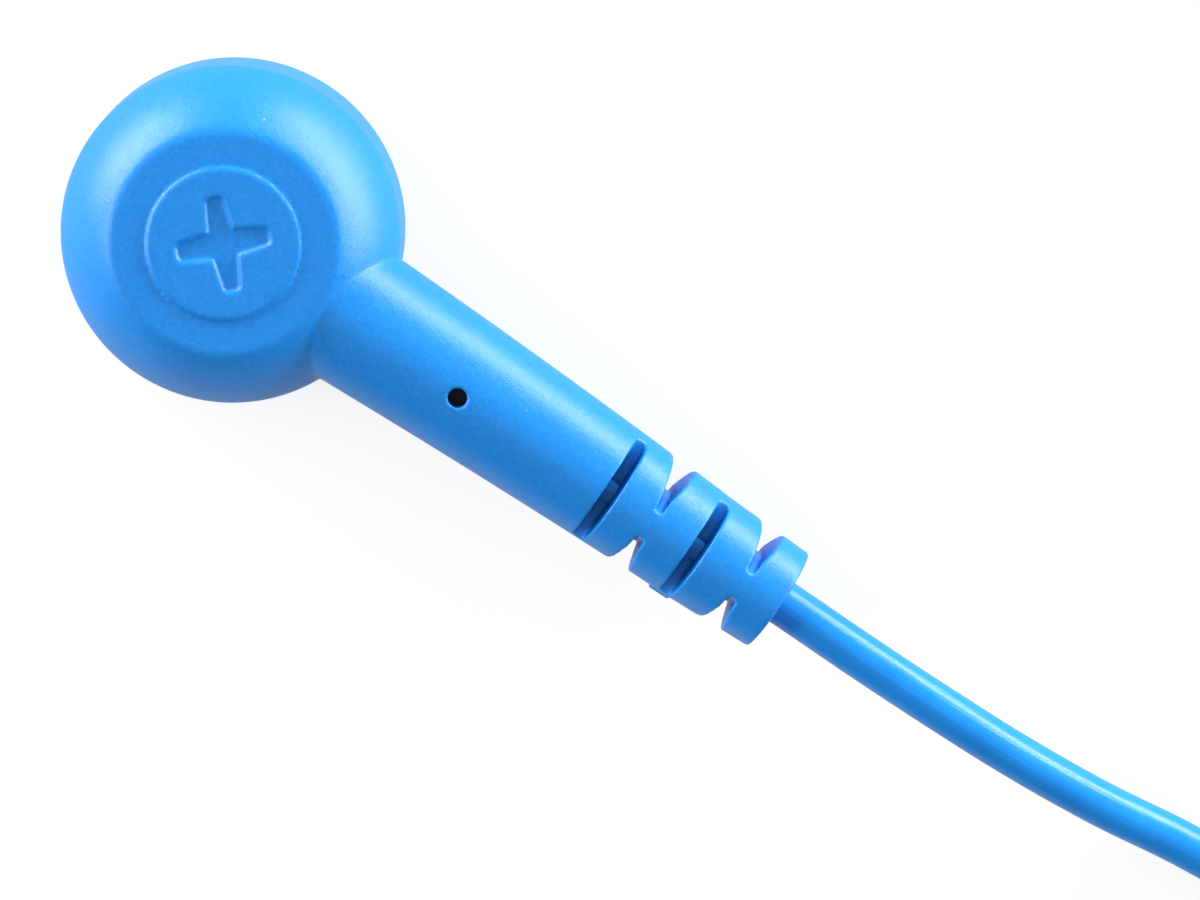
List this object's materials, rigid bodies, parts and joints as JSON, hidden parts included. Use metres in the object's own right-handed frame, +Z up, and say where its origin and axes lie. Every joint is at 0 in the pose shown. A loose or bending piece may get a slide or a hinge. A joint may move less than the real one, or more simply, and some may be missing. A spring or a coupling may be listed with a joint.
{
  "type": "esd wrist strap ground cord",
  "caption": "Ground cord of an anti-static wrist strap: domed snap head with slotted strain relief, curly cord, banana plug and alligator clip.",
  "frame": {"origin": "centre of the snap socket's mouth, on the flat underside of the head", "axes": "+X along the neck and the cord, away from the head; +Z up through the domed top; the stud leaves the socket along -Z"},
  "size_m": [0.3121, 0.0174, 0.0156],
  "materials": {
    "blue_moulding": "fine-grained matt soft moulding",
    "blue_jacket": "smooth satin cord jacket",
    "dark_moulding": "matt hard moulding",
    "nickel": "bright nickel plate",
    "spring_steel": "drawn wire",
    "brass": "stamped",
    "solder": "tinned",
    "resistor": "lacquered",
    "copper": "stranded copper"
  },
  "bodies": {
    "cord_set": {"head_overmould": "blue_moulding", "inner_mould": "dark_moulding", "socket_cup": "nickel", "snap_spring": "spring_steel", "contact_eyelet": "brass", "terminal_tab": "brass", "solder_joint": "solder", "resistor_body": "resistor", "resistor_leads": "solder", "splice_crimp": "nickel", "cord_conductor": "copper", "cord_in_relief": "blue_jacket", "cord_lead": "blue_jacket", "cord_coil": "blue_jacket", "cord_tail": "blue_jacket", "plug_overmould": "blue_moulding", "plug_cord_end": "blue_jacket", "plug_conductor": "copper", "plug_pin": "nickel"},
    "lantern": {"plug_spring": "brass"},
    "clip": {"clip_lower_jaw": "nickel", "clip_pivot_pin": "spring_steel", "clip_spring": "spring_steel"},
    "upper_jaw": {"clip_upper_jaw": "nickel"}
  },
  "joints": [
    {"name": "lantern_spin", "type": "hinge", "parent": "cord_set", "child": "lantern", "pos_m": [0.2595, 0.001, 0.0046], "axis": [1, 0, 0], "continuous": true},
    {"name": "clip_slide", "type": "slide", "parent": "cord_set", "child": "clip", "axis": [1, 0, 0], "range_m": [0, 0.03]},
    {"name": "jaw_hinge", "type": "hinge", "parent": "clip", "child": "upper_jaw", "pos_m": [0.28083, 0.001, 0.0062], "axis": [0, -1, 0], "range_deg": [0, 20], "stiffness_Nm_per_rad": 0.05, "springref_deg": -34.38, "deforming": ["clip_spring"]}
  ]
}
